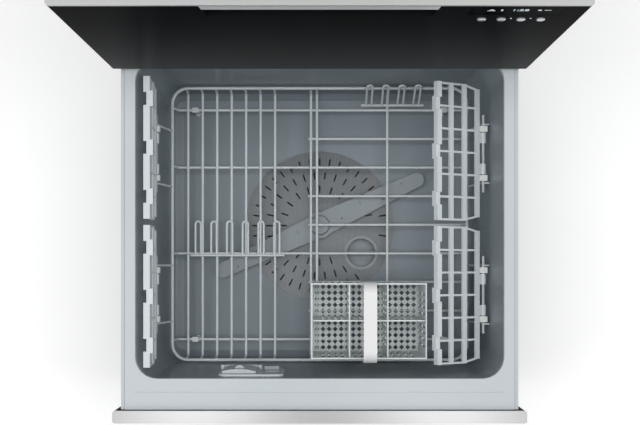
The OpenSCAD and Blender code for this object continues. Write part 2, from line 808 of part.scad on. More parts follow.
cap_neck_step = 8;
cap_neck_d = cap_d - cap_neck_step;
cap_neck_l = 8;
cap_head_t = 2.5;
cap_grip_w = 5;
cap_grip_h = 7;
cap_grip_step = 4;
module rinse_cap() color("#7c868c") at_dispenser() translate([rinse_x, 0, 0]) rotate([-90, 0, 0]) {
    translate([0, 0, -cap_neck_l]) cylinder(h = cap_neck_l + flange_t + cut, d = cap_neck_d);
    translate([0, 0, flange_t + wall_gap + clear]) cylinder(h = cap_head_t, d = cap_d);
    translate([0, 0, flange_t + cut]) intersection() {
        cylinder(h = cap_grip_h, d = cap_d - cap_grip_step);
        cube([cap_d, cap_grip_w, 2 * cap_grip_h], center = true);
    }
}

// ---------- Base rack ----------

rack_z = floor_z + rack_floor;
ring_z = rack_z + ring_rise;
ring_gap_x = 20;
ring_gap_y = 5;
ring_r = 26;
ring_x = tenth(tub_x(ring_z) - ring_gap_x);
ring_y = tenth(tub_half_y(ring_z) - ring_gap_y);
weld = 1;
long_z = rack_z + floor_wire - weld;
bend_r = 6;
bend_a = 80;
leg_from_ring = 34.4;
leg_x = ring_x - leg_from_ring;
leg_d = 6;
leg_foot_d = 9;
leg_foot_h = 5;
leg_clip = [10, 8, 8];

// Closed ring of round wire with rounded corners
module ring(half_x, half_y, r, d) {
    both_sides() translate([half_x, r - half_y, 0]) rotate([-90, 0, 0])
        cylinder(h = 2 * (half_y - r), d = d);
    for (s = [0, 1]) mirror([0, s, 0]) {
        translate([r - half_x, half_y, 0]) rotate([0, 90, 0]) cylinder(h = 2 * (half_x - r), d = d);
        both_sides() translate([half_x - r, half_y - r, 0])
            rotate_extrude(angle = 90) translate([r, 0]) circle(d = d);
    }
}

// Half a floor wire along +X: straight part over the bend, and where the bend begins
function end_l(rise) = (rise - bend_r * (1 - cos(bend_a))) / sin(bend_a);
function flat(reach, rise) = tenth(reach - bend_r * sin(bend_a) - end_l(rise) * cos(bend_a));

module wire_flat(reach, rise) rotate([0, 90, 0]) cylinder(h = flat(reach, rise), d = floor_wire);

// End of a floor wire that turns up to the ring at x = reach
module wire_end(reach, rise) translate([flat(reach, rise), 0, 0]) {
    translate([0, 0, bend_r]) rotate([90, 0, 0]) rotate([0, 0, -90])
        rotate_extrude(angle = bend_a) translate([bend_r, 0]) circle(d = floor_wire);
    translate([bend_r * sin(bend_a), 0, bend_r * (1 - cos(bend_a))])
        rotate([0, 90 - bend_a, 0]) cylinder(h = end_l(rise), d = floor_wire);
}

cross_margin = 29;
cross_last = floor((ring_y - cross_margin) / cross_pitch);
cross_first = -cross_last;
full_rows = [cross_first, -1, 2, cross_last];
centre_x = [-14.5, -4.5];
long_count = 7;
long_margin = 22.4;
long_x = [for (i = [0:long_count - 1]) long_margin - ring_x + i * long_pitch];
right_long_from_ring = 128.4;
right_long_x = ring_x - right_long_from_ring;

module half_wire(reach, rise, ends) {
    if (ends) wire_end(reach, rise);
    else wire_flat(reach, rise);
}

// The floor wires' upturned ends, or else their flat parts
module floor_wires(ends) {
    for (i = [cross_first:cross_last]) translate([0, tub_y + i * cross_pitch, rack_z]) {
        half_wire(ring_x, ring_rise, ends);
        if (len(search(i, full_rows)) > 0) mirror([1, 0, 0]) half_wire(ring_x, ring_rise, ends);
        else if (!ends) rotate([0, -90, 0]) cylinder(h = floor_wire - centre_x[0], d = floor_wire);
    }
    for (x = concat(long_x, centre_x, [right_long_x]), s = [0, 1])
        translate([x, tub_y, long_z]) mirror([0, s, 0]) rotate(90)
            half_wire(ring_y, ring_z - long_z, ends);
}

// Cup rack hinges: their place and what carries them
hinge_z = floor_z + cup_hinge_h;
hinge_wall_gap = 10;
hinge_x = tenth(tub_x(hinge_z) - hinge_wall_gap);
cup_gap = 9;
cup_end_gap = 18;
cup_rear_y = tub_y + tub_half_y(hinge_z) - cup_end_gap - cup_l / 2;
cup_front_y = cup_rear_y - cup_l - cup_gap;
cup_centres = [cup_rear_y, cup_front_y];
carrier_y = 45.5;
riser_wire = 3.4;
stub_wire = 2.8;
bar_l = 120;
stub_gap = 0.6;

module carriers(centres) both_sides() for (yc = centres) {
    translate([hinge_x, yc - bar_l / 2, hinge_z]) rotate([-90, 0, 0]) cylinder(h = bar_l, d = hinge_wire);
    for (s = [-1, 1]) {
        rod([ring_x, yc + s * carrier_y, ring_z], [hinge_x, yc + s * carrier_y, hinge_z], riser_wire);
        translate([hinge_x, yc + s * carrier_y, hinge_z]) rotate([0, 90, 0])
            cylinder(h = tub_x(hinge_z) - stub_gap - hinge_x, d = stub_wire);
    }
}

// Feet clipped on the outer cross wires
module rack_feet() for (x = [-leg_x, leg_x], i = [cross_first, cross_last])
    translate([x, tub_y + i * cross_pitch, floor_z + clear]) difference() {
        union() {
            cylinder(h = rack_floor - clear, d = leg_d);
            cylinder(h = leg_foot_h, d = leg_foot_d);
            translate([0, 0, rack_floor - clear]) cube(leg_clip, center = true);
        }
        translate([-leg_clip.x, 0, rack_floor - clear]) rotate([0, 90, 0])
            cylinder(h = 2 * leg_clip.x, d = floor_wire + clip_play);
    }

module rack_frame() color("#c8d0d2") {
    translate([0, tub_y, ring_z]) ring(ring_x, ring_y, ring_r, ring_wire);
    carriers(cup_centres);
    floor_wires(true);
}
module rack_grid() color("#c8d0d2") {
    floor_wires(false);
    rack_feet();
}

// ---------- Folding tine rows ----------

tine_wire = 3.5;
tine_gap = 9;
tine_pitch = 26;
tine_shaft = 4;
tine_z = long_z + (floor_wire + tine_shaft) / 2 + clear;
tine_lean = 26;
tine_end = 8;
tine_left_from_middle = 50.75;
tine_from_rear = 24.35;
tine_left_from_ring = 104.4;
tine_right_from_ring = 120.4;
tine_left = [tine_left_from_ring - ring_x, tenth(tub_y - tine_left_from_middle), tine_z];
tine_right = [ring_x - tine_right_from_ring, tenth(tub_y + ring_y - tine_from_rear), tine_z];

// Row of hairpin tines standing along +Z on a shaft along X
module tine_row(count) {
    l = (count - 1) * tine_pitch + tine_gap;
    translate([-l / 2 - tine_end, 0, 0]) rotate([0, 90, 0]) cylinder(h = l + 2 * tine_end, d = tine_shaft);
    for (i = [0:count - 1]) translate([(i - (count - 1) / 2) * tine_pitch, 0, 0]) {
        for (s = [-1, 1]) translate([s * tine_gap / 2, 0, 0])
            cylinder(h = tine_l - tine_gap / 2, d = tine_wire);
        translate([0, 0, tine_l - tine_gap / 2]) rotate([90, 0, 0])
            rotate_extrude(angle = 180) translate([tine_gap / 2, 0]) circle(d = tine_wire);
    }
}

// ---------- Cup racks ----------

cup_bar_w = 7.5;
cup_bar_t = 4;
cup_pitch = 25;
cup_bars = 3;
cup_ribs = 6;
corner_inset = 6;
rib_w = 3;
edge_t = 9.5;
edge_low = -4.2;
edge_w = 8;
edge_step = 4.5;
notch_pitch = 72;
notch_lap = 2;
knuckle_y = 24;
knuckle_l = 16;
knuckle_d = 9;

// Cup rack with its hinge along Y at the origin, reaching out along +X
module cup_rack_form() difference() {
    union() {
        for (i = [0:cup_bars - 1]) {
            x = cup_reach - (cup_bars - i) * cup_pitch;
            y = cup_l / 2 - (i == 0 ? corner_inset : 0);
            block([x - cup_bar_w / 2, -y, -cup_bar_t / 2], [x + cup_bar_w / 2, y, cup_bar_t / 2]);
        }
        for (i = [0:cup_ribs]) {
            y = -cup_l / 2 + rib_w / 2 + i * (cup_l - rib_w) / cup_ribs;
            end = i == 0 ? 1 : i == cup_ribs ? -1 : 0;
            x = cup_reach - cup_bars * cup_pitch;
            translate([0, 0, -cup_bar_t / 2 + 0.5]) linear_extrude(cup_bar_t - 1)
                polygon([[x, y - rib_w / 2 + end * corner_inset], [x, y + rib_w / 2 + end * corner_inset],
                    [x + cup_pitch, y + rib_w / 2], [cup_reach, y + rib_w / 2],
                    [cup_reach, y - rib_w / 2], [x + cup_pitch, y - rib_w / 2]]);
        }
        difference() {
            block([cup_reach - edge_w / 2, -cup_l / 2, edge_low],
                [cup_reach + edge_w / 2, cup_l / 2, edge_low + edge_t]);
            for (i = [-1, 0, 1]) translate([cup_reach, i * notch_pitch, edge_low + edge_t])
                block([-edge_w, -notch_l / 2, -edge_step], [edge_w, notch_l / 2, cut]);
        }
        for (i = [-1, 0, 1]) translate([cup_reach, i * notch_pitch, edge_low])
            block([-edge_w / 2, -notch_l / 2 - notch_lap, -edge_step],
                [edge_w / 2, notch_l / 2 + notch_lap, edge_t - edge_step - cut]);
        for (s = [-1, 1]) {
            translate([0, s * knuckle_y - knuckle_l / 2, 0]) rotate([-90, 0, 0])
                cylinder(h = knuckle_l, d = knuckle_d);
            block([1, s * knuckle_y - knuckle_l / 2, -cup_bar_t / 2],
                [cup_reach - cup_bars * cup_pitch, s * knuckle_y + knuckle_l / 2, cup_bar_t / 2]);
        }
    }
    translate([0, -cup_l, 0]) rotate([-90, 0, 0]) cylinder(h = 2 * cup_l, d = hinge_wire + 2 * running);
}

// side -1 is the left wall and 1 the right wall; angle is the rack's slope over the level
module cup_rack(side, yc, angle) color("#dfe5e8") translate([side * hinge_x, yc, hinge_z])
    mirror([side > 0 ? 1 : 0, 0, 0]) rotate([0, -angle, 0]) cup_rack_form();

clip_l = 9;
clip_w = 12;
clip_h = 10;
clip_y = 38;
clip_play = 0.1;
module cup_rack_clips() color("#f2f4f4") both_sides() for (yc = cup_centres, s = [-1, 1]) difference() {
    translate([hinge_x, yc + s * clip_y, hinge_z]) cube([clip_w, clip_l, clip_h], center = true);
    translate([hinge_x, yc - cup_l, hinge_z]) rotate([-90, 0, 0])
        cylinder(h = 2 * cup_l, d = hinge_wire + clip_play);
}

// ---------- Cutlery basket ----------

basket_side_gap = 76.4;
basket_front_gap = 10.85;
basket_x = ring_x - basket_side_gap - basket_w / 2;
basket_y = tenth(tub_y - ring_y + basket_front_gap + basket_d / 2);
basket_z = long_z + floor_wire / 2 + clear;
slot_w = 4;
slot_pitch = 10;
lattice_pitch = 10;
lattice_hole = 6;
lattice_margin = 7;
band = 14;
divider_drop = 12;

// Slotted wall of the basket, standing on the x axis, two storeys of slots
module slotted_outline(l, h) difference() {
    translate([-l / 2, 0]) square([l, h]);
    n = floor((l - 2 * band) / slot_pitch);
    for (i = [0:n], row = [0, 1])
        translate([(i - n / 2) * slot_pitch - slot_w / 2, band + row * (h - band) / 2])
            square([slot_w, (h - band) / 2 - band]);
}
module slotted_wall(l, h)
    translate([0, basket_t / 2, 0]) rotate([90, 0, 0]) linear_extrude(basket_t) slotted_outline(l, h);

module basket_floor_outline() difference() {
    square([basket_w, basket_d], center = true);
    nx = floor((basket_w / 2 - lattice_margin) / lattice_pitch);
    ny = floor((basket_d / 2 - lattice_margin) / lattice_pitch);
    for (i = [-nx:nx], j = [-ny:ny])
        translate([i * lattice_pitch, j * lattice_pitch]) rotate(45) square(lattice_hole, center = true);
}

module cutlery_basket() color("#e3e8e8") translate([basket_x, basket_y, basket_z]) {
    linear_extrude(basket_t) basket_floor_outline();
    for (s = [-1, 1]) {
        translate([0, s * (basket_d - basket_t) / 2, 0]) slotted_wall(basket_w, basket_h);
        translate([s * (basket_w - basket_t) / 2, 0, 0]) rotate(90) slotted_wall(basket_d, basket_h);
        translate([s * basket_w / 6, 0, 0]) rotate(90) slotted_wall(basket_d, basket_h - divider_drop);
    }
    slotted_wall(basket_w, basket_h - divider_drop);
}

handle_t = 3;
handle_r = 20;
handle_drop = 24;
module handle_profile(grow) {
    w = basket_d + 2 * clear + 2 * grow;
    h = handle_rise + handle_drop;
    translate([-w / 2, basket_h - handle_drop]) square([w, h - handle_r]);
    translate([-w / 2 + handle_r, basket_h - handle_drop]) square([w - 2 * handle_r, h - handle_t + grow]);
    for (s = [-1, 1])
        translate([s * (w / 2 - handle_r), basket_h + handle_rise - handle_r - handle_t + grow])
            circle(handle_r);
}
module basket_handle() color("#f0f2f2") translate([basket_x - handle_w / 2, basket_y, basket_z])
    rotate([90, 0, 90]) linear_extrude(handle_w) difference() {
        handle_profile(handle_t);
        handle_profile(0);
    }

cabinet_shell();
base_tray();
toe_kick();
levelling_feet();
cross_rail();
runner_outer();  // lower_runner_outer
in_upper() runner_outer();  // upper_runner_outer
union() { lid_drive(); in_upper() lid_drive(); }  // lid_drives
inlet_valve();
drain_spigot();
control_module();
in_lower() front();  // lower_front
in_lower() steel_cap();  // lower_steel_cap
in_lower() display();  // lower_display
in_lower() button(0);  // lower_button_1
in_lower() button(1);  // lower_button_2
in_lower() button(2);  // lower_button_3
in_lower() button(3);  // lower_button_4
in_lower() tub();  // lower_tub
in_lower() wash_motor();  // lower_wash_motor
in_lower() filter_plate();  // lower_filter_plate
in_lower() drain_filter();  // lower_drain_filter
in_lower() runner_inner();  // lower_runner_inner
in_lower_middle() runner_middle();  // lower_runner_middle
lid();  // lower_lid
in_lower() rack_frame();  // base_rack_frame
in_lower() rack_grid();  // base_rack_grid
in_lower() color("#c8d0d2")  // tine_row_left
    translate(tine_left) rotate([-90, 0, 0]) tine_row(6);
in_lower() color("#c8d0d2")  // tine_row_right
    translate(tine_right) rotate([-tine_lean, 0, 0]) tine_row(4);
in_lower() cup_rack_clips();
in_lower() cup_rack(-1, cup_rear_y, 90);  // cup_rack_left_rear
in_lower() cup_rack(-1, cup_front_y, 90);  // cup_rack_left_front
in_lower() cup_rack(1, cup_rear_y, cup_slope);  // cup_rack_right_rear
in_lower() cup_rack(1, cup_front_y, cup_slope);  // cup_rack_right_front
in_lower() cutlery_basket();
in_lower() basket_handle();
in_lower() spray_arm();  // lower_spray_arm
in_lower() dispenser_body();
in_lower() dispenser_door();
in_lower() rinse_cap();
in_upper() front();  // upper_front
in_upper() steel_cap();  // upper_steel_cap
in_upper() display();  // upper_display
in_upper() button(0);  // upper_button_1
in_upper() button(1);  // upper_button_2
in_upper() button(2);  // upper_button_3
in_upper() button(3);  // upper_button_4
in_upper() tub();  // upper_tub
in_upper() wash_motor();  // upper_wash_motor
in_upper() filter_plate();  // upper_filter_plate
in_upper() runner_inner();  // upper_runner_inner
in_upper() runner_middle();  // upper_runner_middle
in_upper() lid();  // upper_lid
in_upper() rack_frame();  // upper_rack_frame
in_upper() rack_grid();  // upper_rack_grid
in_upper() for (yc = cup_centres) cup_rack(-1, yc, 90);  // upper_cup_racks_left
in_upper() for (yc = cup_centres) cup_rack(1, yc, cup_slope);  // upper_cup_racks_right
in_upper() spray_arm();  // upper_spray_arm
in_upper() { dispenser_body(); rinse_cap(); }  // upper_dispenser
in_upper() dispenser_door();  // upper_dispenser_door
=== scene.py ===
import math

import bmesh
import bpy
from mathutils import Matrix, Vector


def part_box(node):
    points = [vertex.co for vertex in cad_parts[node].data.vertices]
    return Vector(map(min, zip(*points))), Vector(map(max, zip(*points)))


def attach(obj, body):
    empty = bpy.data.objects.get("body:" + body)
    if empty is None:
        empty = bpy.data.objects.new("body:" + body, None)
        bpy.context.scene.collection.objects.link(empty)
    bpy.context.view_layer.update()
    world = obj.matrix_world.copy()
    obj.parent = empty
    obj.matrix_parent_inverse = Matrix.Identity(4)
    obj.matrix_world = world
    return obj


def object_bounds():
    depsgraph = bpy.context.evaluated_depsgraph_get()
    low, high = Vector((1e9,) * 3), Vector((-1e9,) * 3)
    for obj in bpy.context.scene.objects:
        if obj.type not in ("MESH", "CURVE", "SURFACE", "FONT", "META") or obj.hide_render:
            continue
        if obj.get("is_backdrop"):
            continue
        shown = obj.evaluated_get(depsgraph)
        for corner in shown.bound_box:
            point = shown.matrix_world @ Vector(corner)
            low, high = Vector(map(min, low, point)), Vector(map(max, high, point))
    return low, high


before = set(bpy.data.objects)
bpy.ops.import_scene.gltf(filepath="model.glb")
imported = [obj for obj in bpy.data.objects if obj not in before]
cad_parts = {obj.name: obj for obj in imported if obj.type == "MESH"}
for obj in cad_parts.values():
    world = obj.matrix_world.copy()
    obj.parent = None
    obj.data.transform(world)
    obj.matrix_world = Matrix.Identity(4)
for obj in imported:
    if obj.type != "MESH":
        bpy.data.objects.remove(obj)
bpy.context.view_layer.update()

# ---------------------------------------------------------------------------------------------
# Cabinet: folded zinc-coated steel sheet, spot-welded into a sleeve that is open at the front.
# The coating shows its crystals as flat patches of slightly different grey.


class Value:
    """A socket of a material's nodes. Arithmetic on it adds Math nodes, and node() any other."""

    def __init__(self, socket):
        self.socket = socket

    def node(self, kind, settings=(), inputs=(), output=0):
        tree = self.socket.id_data
        made = tree.nodes.new("ShaderNode" + kind)
        for name, value in dict(settings).items():
            setattr(made, name, value)
        for name, value in dict(inputs).items():
            if isinstance(value, Value):
                tree.links.new(value.socket, made.inputs[name])
            else:
                made.inputs[name].default_value = value
        return Value(made.outputs[output])

    def maths(self, operation, first, second):
        return self.node("Math", {"operation": operation}, {0: first, 1: second})

    def __add__(self, other):
        return self.maths("ADD", self, other)

    def __sub__(self, other):
        return self.maths("SUBTRACT", self, other)

    def __rsub__(self, other):
        return self.maths("SUBTRACT", other, self)

    def __mul__(self, other):
        return self.maths("MULTIPLY", self, other)

    def __gt__(self, other):
        return self.maths("GREATER_THAN", self, other)

    __radd__ = __add__
    __rmul__ = __mul__


def paint(red, green, blue):
    """A colour as it shows on a screen, 0 to 255, as the light that it reflects."""
    shares = [c / 255 for c in (red, green, blue)]
    return tuple(c / 12.92 if c < 0.0405 else ((c + 0.055) / 1.055) ** 2.4 for c in shares) + (1.0,)


def new_finish(name, metallic=0.0, **constants):
    """A material, its shader's inputs and the place on the piece that its patterns read."""
    made = bpy.data.materials.new(name)
    made.use_nodes = True
    shader = made.node_tree.nodes["Principled BSDF"]
    shader.inputs["Metallic"].default_value = metallic
    for key, value in constants.items():
        shader.inputs[key.replace("_", " ")].default_value = value
    place = Value(made.node_tree.nodes.new("ShaderNodeTexCoord").outputs["Object"])
    return made, shader.inputs, place


def along(place, axis):
    """How far the place is along an axis: 0 for X, 1 for Y and 2 for Z."""
    return place.node("SeparateXYZ", inputs={0: place}, output=axis)


def drive(socket, value):
    """Lets a varying value feed one of the shader's sockets."""
    socket.id_data.links.new(value.socket, socket)


def mottle(place, size, stretch=(1, 1, 1), detail=2.0, rough=0.5):
    """Soft noise from 0 to 1 whose patches are about size metres across."""
    scaled = place.node("Mapping", inputs={"Vector": place, "Scale": stretch})
    return place.node(
        "TexNoise",
        inputs={"Vector": scaled, "Scale": 1 / size, "Detail": detail, "Roughness": rough},
    )


def between(low, high, share):
    """The colour from low to high as share goes from 0 to 1."""
    return share.node("Mix", {"data_type": "RGBA"}, {0: share, 6: low, 7: high}, output=2)


def relief(height, distance, strength=0.4):
    """A normal from a height, for bumps that are distance metres high."""
    return height.node(
        "Bump", inputs={"Height": height, "Distance": distance, "Strength": strength}
    )


def dress(material, *nodes):
    """Gives CAD nodes their finish."""
    for name in nodes:
        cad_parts[name].material_slots[0].material = material


zinc, sockets, place = new_finish("zinc_coated_sheet", 0.85)
crystal = place.node("TexVoronoi", inputs={"Vector": place, "Scale": 260.0}, output=1)
crystal_share = crystal.node("SeparateColor", inputs={0: crystal})
patches = crystal_share * 0.6 + mottle(place, 0.2) * 0.4
drive(sockets["Base Color"], between(paint(176, 179, 181), paint(200, 202, 204), patches))
drive(sockets["Roughness"], crystal_share * 0.1 + mottle(place, 0.03) * 0.08 + 0.34)
drive(sockets["Normal"], relief(crystal_share + mottle(place, 0.002) * 0.4, 0.00004))
dress(zinc, "cabinet_shell", "base_tray", "cross_rail")

# ---------------------------------------------------------------------------------------------
# Screws: zinc-plated flat heads with a cross recess, which hold the runners and the base tray to
# the cabinet's sides. One is modelled, and the others are copies on their own meshes.

screw_r = 0.0036
screw_h = 0.0021
head_edge = 0.0011
head_dome = 0.0006
head_sink = 0.0001
slot_l = 0.0042
slot_w = 0.0009
screw_heights = (0.08, 0.272, 0.656)
screw_depths = (-0.17, 0.04, 0.22)


def start_edit():
    """Edit mode on the active object, in face mode, with nothing selected."""
    bpy.ops.object.mode_set(mode="EDIT")
    bpy.ops.mesh.select_mode(type="FACE")
    bpy.ops.mesh.select_all(action="DESELECT")


def pick_faces(chosen):
    """Selects the faces of the mesh being edited for which chosen(face) is true."""
    mesh = bmesh.from_edit_mesh(bpy.context.object.data)
    for face in mesh.faces:
        face.select_set(bool(chosen(face)))
    mesh.select_flush_mode()
    bmesh.update_edit_mesh(bpy.context.object.data)


def end_edit(smooth_angle=35):
    """Back to object mode, with normals outwards, soft edges smoothed and the place in the mesh."""
    bpy.ops.mesh.select_all(action="SELECT")
    bpy.ops.mesh.normals_make_consistent(inside=False)
    bpy.ops.object.mode_set(mode="OBJECT")
    bpy.ops.object.transform_apply(location=True, rotation=True, scale=True)
    bpy.ops.object.shade_smooth_by_angle(angle=math.radians(smooth_angle))


def name_piece(name, material, body):
    """Names the active object, gives it its finish and lets it ride on a body."""
    piece = bpy.context.object
    piece.name = piece.data.name = name
    piece.data.materials.clear()
    piece.data.materials.append(material)
    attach(piece, body)
    return piece


def join(pieces):
    """Joins pieces into the first, which becomes the active object."""
    bpy.ops.object.select_all(action="DESELECT")
    for piece in pieces:
        piece.select_set(True)
    bpy.context.view_layer.objects.active = pieces[0]
    bpy.ops.object.join()


def carve(piece, cutter):
    """Takes the cutter's solid out of the piece and removes the cutter."""
    modifier = piece.modifiers.new("cut", "BOOLEAN")
    modifier.operation = "DIFFERENCE"
    modifier.object = cutter
    bpy.ops.object.select_all(action="DESELECT")
    bpy.context.view_layer.objects.active = piece
    piece.select_set(True)
    bpy.ops.object.modifier_apply(modifier="cut")
    bpy.data.objects.remove(cutter)


plated, sockets, place = new_finish("zinc_plated", 0.95)
plating = mottle(place, 0.004)
drive(sockets["Base Color"], between(paint(160, 163, 168), paint(210, 211, 212), plating))
drive(sockets["Roughness"], mottle(place, 0.0015) * 0.2 + 0.22)
drive(sockets["Normal"], relief(mottle(place, 0.0008), 0.00005))

bpy.ops.object.select_all(action="DESELECT")
bpy.ops.mesh.primitive_cylinder_add(vertices=20, radius=screw_r, depth=screw_h)
screw = bpy.context.object
start_edit()
pick_faces(lambda face: face.normal.z > 0.9)
bpy.ops.mesh.inset(thickness=head_edge)
bpy.ops.transform.translate(value=(0, 0, head_dome))
end_edit(60)
for slot_size in ((slot_l, slot_w, screw_h), (slot_w, slot_l, screw_h)):
    bpy.ops.object.select_all(action="DESELECT")
    bpy.ops.mesh.primitive_cube_add(size=1, location=(0, 0, screw_h))
    recess = bpy.context.object
    recess.scale = slot_size
    bpy.ops.object.transform_apply(location=True, rotation=False, scale=True)
    carve(screw, recess)


def set_screws(name, body, places, towards):
    """Copies of the screw, centred on these places and facing one way, as one piece."""
    turn = Vector((0, 0, 1)).rotation_difference(Vector(towards)).to_matrix().to_4x4()
    copies = []
    for point in places:
        copy = screw.copy()
        copy.data = screw.data.copy()
        copy.data.transform(Matrix.Translation(Vector(point)) @ turn)
        bpy.context.collection.objects.link(copy)
        copies.append(copy)
    join(copies)
    name_piece(name, plated, body)


head_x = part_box("cabinet_shell")[1].x - head_sink - screw_h / 2 - head_dome
for side, s in (("left", -1), ("right", 1)):
    set_screws(
        f"{side}_side_screws",
        "cabinet",
        [(s * head_x, y, z) for z in screw_heights for y in screw_depths],
        (s, 0, 0),
    )
bpy.data.objects.remove(screw)

# ---------------------------------------------------------------------------------------------
# Plinth: the toe kick and the four screw feet are glass-filled black plastic with a fine eroded
# texture, and their stems and nuts are moulded with them.

black_plastic, sockets, place = new_finish("black_plastic")
drive(sockets["Base Color"], between(paint(22, 23, 25), paint(38, 39, 41), mottle(place, 0.05)))
drive(sockets["Roughness"], mottle(place, 0.002) * 0.25 + 0.42)
drive(sockets["Normal"], relief(mottle(place, 0.0007), 0.00012))
dress(black_plastic, "toe_kick", "levelling_feet", "drain_spigot", "control_module")

# ---------------------------------------------------------------------------------------------
# Runners: rolled steel members in three stages, zinc-plated, which carry the drawers on balls.
# The balls polish faint lines along the way they run.

runner_steel, sockets, place = new_finish("runner_steel", 0.95)
drawn = mottle(place, 0.0012, stretch=(1, 0.01, 1), detail=3.0)
drive(sockets["Base Color"], between(paint(150, 153, 157), paint(208, 210, 212), drawn))
drive(sockets["Roughness"], drawn * 0.22 + 0.22)
drive(sockets["Normal"], relief(drawn, 0.00006))
dress(
    runner_steel,
    "lower_runner_outer", "lower_runner_middle", "lower_runner_inner",
    "upper_runner_outer", "upper_runner_middle", "upper_runner_inner",
)

# ---------------------------------------------------------------------------------------------
# Lids and their drives: pale grey moulded lids with a soft seal underneath, lowered onto a
# closed drawer by small geared motors at the rear. The inlet valve is the same white plastic.


def moulded(name, dark, pale, roughness):
    """Injection-moulded plastic: even colour with slight flow marks and a fine spark texture."""
    made, sockets, place = new_finish(name)
    flow = mottle(place, 0.16, detail=3.0)
    drive(sockets["Base Color"], between(dark, pale, flow))
    drive(sockets["Roughness"], mottle(place, 0.004) * 0.12 + flow * 0.08 + (roughness - 0.1))
    drive(sockets["Normal"], relief(mottle(place, 0.0009), 0.00006))
    return made


lid_plastic = moulded("lid_plastic", paint(214, 219, 221), paint(226, 230, 232), 0.45)
dress(lid_plastic, "lower_lid", "upper_lid")
white_plastic = moulded("white_plastic", paint(226, 228, 227), paint(240, 241, 240), 0.4)
dress(white_plastic, "lid_drives", "inlet_valve")

# ---------------------------------------------------------------------------------------------
# Fronts: black lacquered panels with rounded edges and a hand pocket behind a steel lip. The
# sprayed coat is faintly wavy, and the panel is painted paler towards its lower edge as a painted
# reflection.


def lacquer(level):
    """Black lacquer, painted a shade paler low down on the panel as a painted reflection."""
    made, sockets, place = new_finish(f"{level}_black_lacquer", Specular_IOR_Level=0.001)
    low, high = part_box(f"{level}_front")
    drop = (high.z - along(place, 2)) * (1 / (high.z - low.z))
    deep = between(paint(19, 20, 21), paint(26, 27, 28), mottle(place, 0.1))
    # Painted reflection: the colour grows paler towards the lower edge, for the open drawer
    # mirrored there.
    drive(sockets["Base Color"], between(deep, paint(92, 93, 94), drop * drop))
    drive(sockets["Roughness"], mottle(place, 0.05, detail=3.0) * 0.05 + 0.28)
    drive(sockets["Normal"], relief(mottle(place, 0.0015), 0.00002, 0.2))
    return made


dress(lacquer("lower"), "lower_front")
dress(lacquer("upper"), "upper_front")

# ---------------------------------------------------------------------------------------------
# Steel caps: stainless sheet folded over each front's top edge, whose lip is the pull. It is
# brushed along its length, with soft bands of painted highlight across it and a painted highlight
# on the lip.


cap_fold = 0.0042
# Painted highlight: the lip is paler than the rest of the same steel.
painted_lip_highlight = paint(246, 246, 246)


def brushed(level, dark, pale, band):
    """Stainless steel with fine lines along X, soft painted highlight bands band metres apart and a
    lip painted paler as a highlight.
    """
    made, sockets, place = new_finish(f"{level}_brushed_steel", 0.4)
    lines = mottle(place, 0.0006, stretch=(0.012, 1, 1), detail=4.0, rough=0.65)
    # Painted highlight: soft bands along X, band metres apart.
    turn = along(place, 0) * (2 * math.pi / band)
    painted_band_wave = turn.maths("COSINE", turn, 0.0)
    grain_and_painted_bands = between(dark, pale, lines * 0.25 + (0.375 - painted_band_wave * 0.375))
    under_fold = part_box(f"{level}_steel_cap")[1].z - cap_fold - along(place, 2)
    drive(sockets["Base Color"], between(grain_and_painted_bands, painted_lip_highlight, under_fold > 0))
    drive(sockets["Roughness"], lines * 0.2 + 0.26)
    drive(sockets["Normal"], relief(lines, 0.00004, 0.5))
    return made


# The lower cap gets stronger, closer painted highlight bands than the upper one.
dress(brushed("lower", paint(172, 172, 172), paint(236, 236, 236), 0.37), "lower_steel_cap")
dress(brushed("upper", paint(174, 174, 175), paint(190, 190, 191), 0.9), "upper_steel_cap")

# ---------------------------------------------------------------------------------------------
# Controls: a dark glass window with lit numerals and symbols behind it, and four silver buttons
# under it with a small lamp between each pair. Each button moves by itself.

glass, sockets, place = new_finish("display_glass", Specular_IOR_Level=0.001)
drive(sockets["Base Color"], between(paint(8, 9, 11), paint(14, 15, 18), mottle(place, 0.02)))
drive(sockets["Roughness"], mottle(place, 0.01) * 0.08 + 0.1)
dress(glass, "lower_display", "upper_display")

silver, sockets, place = new_finish("silver_button", 0.9)
spun = mottle(place, 0.0005, stretch=(0.05, 1, 1), detail=3.0)
drive(sockets["Base Color"], between(paint(186, 188, 190), paint(226, 227, 228), spun))
drive(sockets["Roughness"], spun * 0.15 + 0.22)
drive(sockets["Normal"], relief(spun, 0.00003))
dress(silver, *[f"{level}_button_{i}" for level in ("lower", "upper") for i in (1, 2, 3, 4)])

lit, sockets, place = new_finish("lit_marks", Roughness=0.4, Emission_Strength=0.3)
cells = mottle(place, 0.004)
drive(sockets["Base Color"], between(paint(190, 206, 214), paint(222, 232, 238), cells))
drive(sockets["Emission Color"], between(paint(196, 214, 224), paint(232, 242, 247), cells))

mark_depth = 0.0004
numeral_h = 0.0115
bar_h = 0.0009
row_below_top = 0.011
lamp_r = 0.0011
lamp_proud = 0.0001
upright = (math.pi / 2, 0, 0)


def numerals(text, size, place):
    """Lit numerals that stand on the display, centred on place."""
    bpy.ops.object.select_all(action="DESELECT")
    bpy.ops.object.text_add(location=place, rotation=upright)
    piece = bpy.context.object
    piece.data.body = text
    piece.data.size = size
    piece.data.align_x = "CENTER"
    piece.data.align_y = "CENTER"
    piece.data.extrude = mark_depth / 2
    piece.data.resolution_u = 4
    bpy.ops.object.convert(target="MESH")
    bpy.ops.object.transform_apply(location=True, rotation=True, scale=True)
    return piece


def lit_dot(radius, place):
    """A small round lamp or symbol with a domed face, seen along Y."""
    bpy.ops.object.select_all(action="DESELECT")
    bpy.ops.mesh.primitive_cylinder_add(
        vertices=20, radius=radius, depth=mark_depth, location=place, rotation=upright
    )
    start_edit()
    pick_faces(lambda face: face.normal.z > 0.9)
    bpy.ops.mesh.inset(thickness=radius * 0.35)
    bpy.ops.transform.translate(value=(0, -mark_depth * 0.5, 0))
    end_edit(60)
    return bpy.context.object


